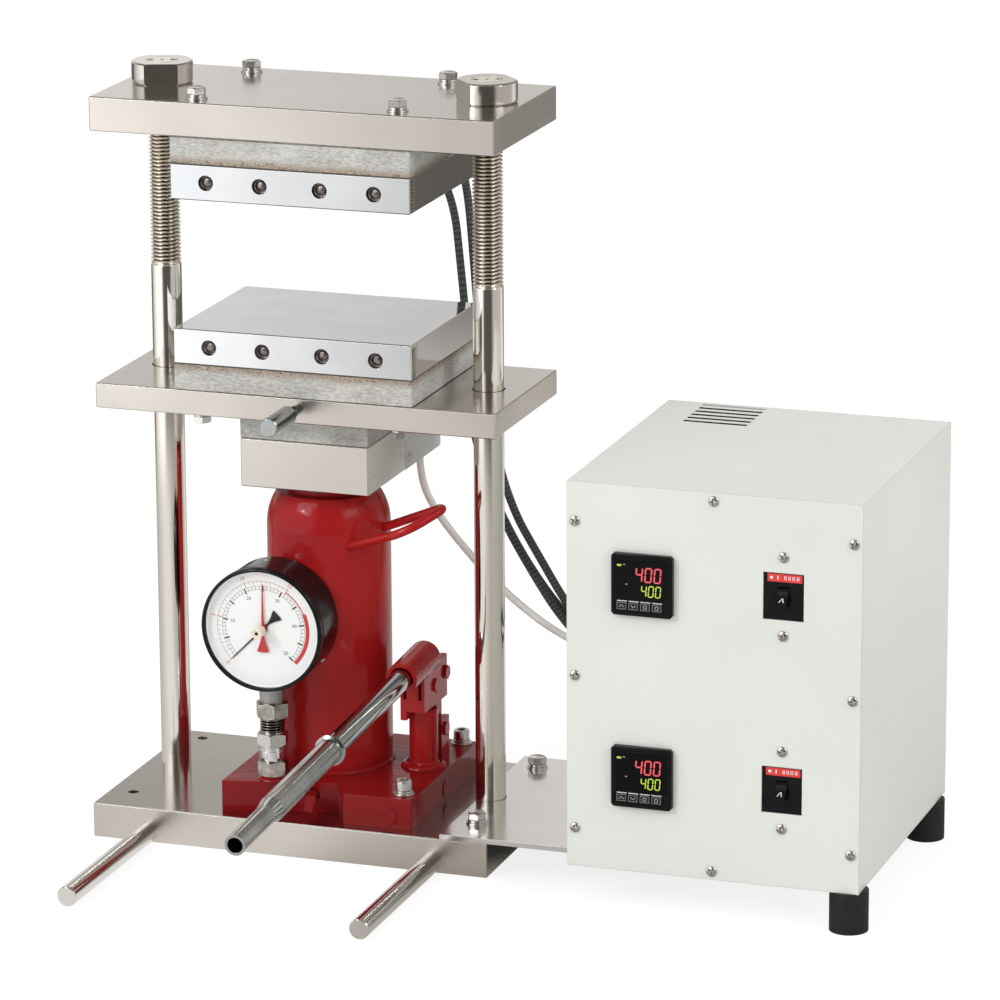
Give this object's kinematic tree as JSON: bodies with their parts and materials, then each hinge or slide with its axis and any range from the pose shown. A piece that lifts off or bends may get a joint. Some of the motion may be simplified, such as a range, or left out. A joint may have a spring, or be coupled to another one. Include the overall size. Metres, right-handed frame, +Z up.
{
  "type": "heated hydraulic press",
  "caption": "Benchtop heated press on columns: a hand-pumped jack lifts a heated platen against a fixed one, with a pressure gauge and a temperature control box",
  "frame": {"origin": "centre of the base plate's underside, on the surface that the press stands on", "axes": "+Z up, +X to the right towards the control box, -Y to the front where the gauge faces and the handle points"},
  "size_m": [0.642, 0.5433, 0.609],
  "materials": {
    "plate_steel": "ground and nickel-like, with broken edges",
    "column_steel": "ground and polished",
    "nut_steel": "turned",
    "platen_steel": "polished, faintly blued by heat",
    "heater_sheath": "dulled by heat",
    "insulating_board": "pressed fibre and cement, matt",
    "bolt_zinc": "zinc plated",
    "spacer_steel": "ground",
    "cover_sheet": "thin grey sheet",
    "knob_chrome": "chrome plated",
    "jack_red": "thick gloss enamel",
    "ram_steel": "ground",
    "dark_steel": "oiled",
    "handle_chrome": "chrome plated tube",
    "fitting_zinc": "grey zinc",
    "union_chrome": "bright plated",
    "gauge_black": "black enamel",
    "gauge_glass": "clear",
    "dial_white": "printed white",
    "needle_black": "matt black",
    "hand_red": "red",
    "bracket_stainless": "bright stainless",
    "box_ivory": "fine matt powder coat",
    "black_plastic": "moulded",
    "rubber_black": "moulded",
    "screw_steel": "nickel plated",
    "braid_grey": "braided glass sleeve",
    "sheath_white": "pale, slightly clear"
  },
  "bodies": {
    "frame": {"base_plate": "plate_steel", "front_rods": "column_steel", "columns": "column_steel", "top_plate": "plate_steel", "column_nuts": "nut_steel", "upper_insulator": "insulating_board", "upper_platen": "platen_steel", "upper_heaters": "heater_sheath", "frame_bolts": "bolt_zinc", "jack_base": "jack_red", "jack_body": "jack_red", "jack_cylinder": "dark_steel", "jack_gland": "jack_red", "pump_cylinder": "jack_red", "pump_link": "jack_red", "carry_bail": "jack_red", "gauge_case": "gauge_black", "gauge_bezel": "gauge_black", "gauge_dial": "dial_white", "gauge_glass": "gauge_glass", "gauge_stem": "fitting_zinc", "gauge_fittings": "fitting_zinc", "gauge_union": "union_chrome", "bracket_plate": "bracket_stainless", "box_shell": "box_ivory", "box_front_panel": "box_ivory", "box_screws": "screw_steel", "box_feet": "rubber_black", "temperature_controllers": "black_plastic", "heater_breakers": "black_plastic", "cable_glands": "black_plastic", "heater_leads": "braid_grey", "sensor_lead": "sheath_white"},
    "moving_plate": {"mid_plate": "plate_steel", "lower_insulator": "insulating_board", "lower_platen": "platen_steel", "lower_heaters": "heater_sheath", "lower_platen_bolts": "bolt_zinc", "spacer_insulator": "insulating_board", "spacer_block": "spacer_steel", "rear_cover": "cover_sheet", "plate_knob": "knob_chrome", "jack_ram": "ram_steel"},
    "pump_lever": {"handle_socket": "jack_red"},
    "piston": {"pump_piston": "ram_steel"},
    "upper_tube": {"handle_upper_tube": "handle_chrome"},
    "lower_tube": {"handle_lower_tube": "handle_chrome"},
    "valve": {"release_valve": "jack_red"},
    "pressure_hand": {"gauge_needle": "needle_black"},
    "drag_hand": {"max_hand": "hand_red"},
    "upper_breaker_toggle": {"upper_toggle": "black_plastic"},
    "upper_up_key": {"upper_up_button": "black_plastic"},
    "upper_down_key": {"upper_down_button": "black_plastic"},
    "upper_mode_key": {"upper_mode_button": "black_plastic"},
    "upper_set_key": {"upper_set_button": "black_plastic"},
    "lower_breaker_toggle": {"lower_toggle": "black_plastic"},
    "lower_up_key": {"lower_up_button": "black_plastic"},
    "lower_down_key": {"lower_down_button": "black_plastic"},
    "lower_mode_key": {"lower_mode_button": "black_plastic"},
    "lower_set_key": {"lower_set_button": "black_plastic"}
  },
  "joints": [
    {"name": "plate_lift", "type": "slide", "parent": "frame", "child": "moving_plate", "axis": [0, 0, 1], "range_m": [0, 0.1016]},
    {"name": "pump_stroke", "type": "hinge", "parent": "frame", "child": "pump_lever", "pos_m": [0.078, 0.0245, 0.124], "axis": [-1, 0, 0], "range_deg": [0, 38]},
    {"name": "piston_slide", "type": "slide", "parent": "frame", "child": "piston", "axis": [0, 0, 1], "range_m": [0, 0.0165]},
    {"name": "handle_seat", "type": "slide", "parent": "pump_lever", "child": "upper_tube", "axis": [0, -0.9981, -0.061], "range_m": [0, 0.038]},
    {"name": "handle_reach", "type": "slide", "parent": "upper_tube", "child": "lower_tube", "axis": [0, -0.9981, -0.061], "range_m": [-0.058, 0.05]},
    {"name": "valve_turn", "type": "hinge", "parent": "frame", "child": "valve", "pos_m": [0.01, -0.07031, 0.043], "axis": [0.245, -0.9695, 0], "range_deg": [0, 360]},
    {"name": "needle_turn", "type": "hinge", "parent": "frame", "child": "pressure_hand", "pos_m": [-0.0235, -0.086, 0.1805], "axis": [0, 1, 0], "range_deg": [0, 270], "stiffness_Nm_per_rad": 0.002, "springref_deg": -11.46},
    {"name": "drag_hand_turn", "type": "hinge", "parent": "frame", "child": "drag_hand", "pos_m": [-0.0235, -0.086, 0.1805], "axis": [0, 1, 0], "range_deg": [-135, 135]},
    {"name": "upper_toggle_tip", "type": "hinge", "parent": "frame", "child": "upper_breaker_toggle", "pos_m": [0.412, -0.1322, 0.2595], "axis": [-1, 0, 0], "range_deg": [0, 44]},
    {"name": "upper_up_press", "type": "slide", "parent": "frame", "child": "upper_up_key", "axis": [0, 1, 0], "range_m": [0, 0.0008], "stiffness_N_per_m": 600, "springref_m": -0.0002},
    {"name": "upper_down_press", "type": "slide", "parent": "frame", "child": "upper_down_key", "axis": [0, 1, 0], "range_m": [0, 0.0008], "stiffness_N_per_m": 600, "springref_m": -0.0002},
    {"name": "upper_mode_press", "type": "slide", "parent": "frame", "child": "upper_mode_key", "axis": [0, 1, 0], "range_m": [0, 0.0008], "stiffness_N_per_m": 600, "springref_m": -0.0002},
    {"name": "upper_set_press", "type": "slide", "parent": "frame", "child": "upper_set_key", "axis": [0, 1, 0], "range_m": [0, 0.0008], "stiffness_N_per_m": 600, "springref_m": -0.0002},
    {"name": "lower_toggle_tip", "type": "hinge", "parent": "frame", "child": "lower_breaker_toggle", "pos_m": [0.412, -0.1322, 0.1083], "axis": [-1, 0, 0], "range_deg": [0, 44]},
    {"name": "lower_up_press", "type": "slide", "parent": "frame", "child": "lower_up_key", "axis": [0, 1, 0], "range_m": [0, 0.0008], "stiffness_N_per_m": 600, "springref_m": -0.0002},
    {"name": "lower_down_press", "type": "slide", "parent": "frame", "child": "lower_down_key", "axis": [0, 1, 0], "range_m": [0, 0.0008], "stiffness_N_per_m": 600, "springref_m": -0.0002},
    {"name": "lower_mode_press", "type": "slide", "parent": "frame", "child": "lower_mode_key", "axis": [0, 1, 0], "range_m": [0, 0.0008], "stiffness_N_per_m": 600, "springref_m": -0.0002},
    {"name": "lower_set_press", "type": "slide", "parent": "frame", "child": "lower_set_key", "axis": [0, 1, 0], "range_m": [0, 0.0008], "stiffness_N_per_m": 600, "springref_m": -0.0002}
  ],
  "couplings": [
    {"joint": "piston_slide", "follows": "pump_stroke", "m_per_rad": 0.0243}
  ]
}
